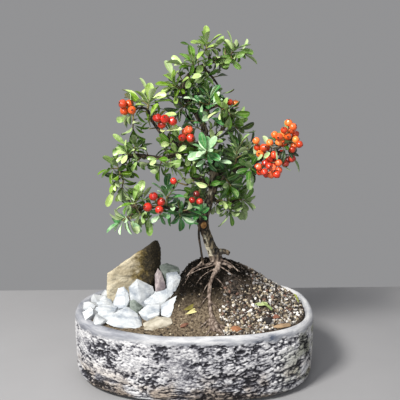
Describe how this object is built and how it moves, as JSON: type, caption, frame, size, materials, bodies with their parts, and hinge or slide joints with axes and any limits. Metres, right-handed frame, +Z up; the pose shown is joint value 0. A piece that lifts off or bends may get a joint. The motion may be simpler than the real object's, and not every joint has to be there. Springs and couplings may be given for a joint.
{
  "type": "crabapple bonsai",
  "caption": "Small-leaved bonsai tree with bunches of orange-red berries on a soil mound in an oval rough-walled ceramic pot, beside a standing stone and white marble chunks.",
  "frame": {"origin": "middle of the pot's foot, on the surface that it stands on", "axes": "+Z up, +X along the pot's long side towards its bare right half, +Y from the front of the pot to its back"},
  "size_m": [0.314, 0.2, 0.4459],
  "materials": {
    "pot_ceramic": "matte",
    "bark": "matte",
    "soil": "matte",
    "standing_stone": "matte",
    "white_marble": "matte",
    "berry": "gloss",
    "leaf_lime": "satin",
    "leaf_green": "satin",
    "leaf_dark": "satin",
    "leaf_teal": "satin",
    "fallen_leaf": "satin"
  },
  "bodies": {
    "root": {"berries_far_left": "berry", "berries_hook": "berry", "berries_left_middle": "berry", "berries_lower_left": "berry", "berries_right_back": "berry", "berries_right_inner": "berry", "berries_right_low": "berry", "berries_right_top": "berry", "berries_single": "berry", "berries_top_right": "berry", "berries_upper_left": "berry", "fallen_leaf_1": "fallen_leaf", "fallen_leaf_2": "fallen_leaf", "pot": "pot_ceramic", "soil": "soil", "spray_apex": "leaf_lime", "spray_back_high": "leaf_dark", "spray_back_left": "leaf_green", "spray_back_low": "leaf_green", "spray_back_right": "leaf_green", "spray_far_left": "leaf_green", "spray_far_left_under": "leaf_green", "spray_front": "leaf_teal", "spray_high_right": "leaf_green", "spray_inner_left": "leaf_dark", "spray_inner_top": "leaf_teal", "spray_left_bottom": "leaf_teal", "spray_left_curl": "leaf_lime", "spray_left_inner": "leaf_green", "spray_left_low": "leaf_lime", "spray_left_shoulder": "leaf_lime", "spray_low_middle": "leaf_teal", "spray_middle": "leaf_green", "spray_middle_left": "leaf_green", "spray_right_berries": "leaf_dark", "spray_right_bottom": "leaf_green", "spray_right_inner": "leaf_dark", "spray_right_low": "leaf_green", "spray_right_middle": "leaf_dark", "spray_right_shoulder": "leaf_green", "spray_right_upper": "leaf_green", "spray_teal": "leaf_teal", "spray_top_left": "leaf_green", "spray_top_right": "leaf_green", "spray_upper_left": "leaf_lime", "standing_stone": "standing_stone", "trunk": "bark", "white_stone_01": "white_marble", "white_stone_02": "white_marble", "white_stone_03": "white_marble", "white_stone_04": "white_marble", "white_stone_05": "white_marble", "white_stone_06": "white_marble", "white_stone_07": "white_marble", "white_stone_08": "white_marble", "white_stone_09": "white_marble", "white_stone_10": "white_marble", "white_stone_11": "white_marble", "white_stone_12": "white_marble", "white_stone_13": "white_marble"}
  },
  "joints": []
}
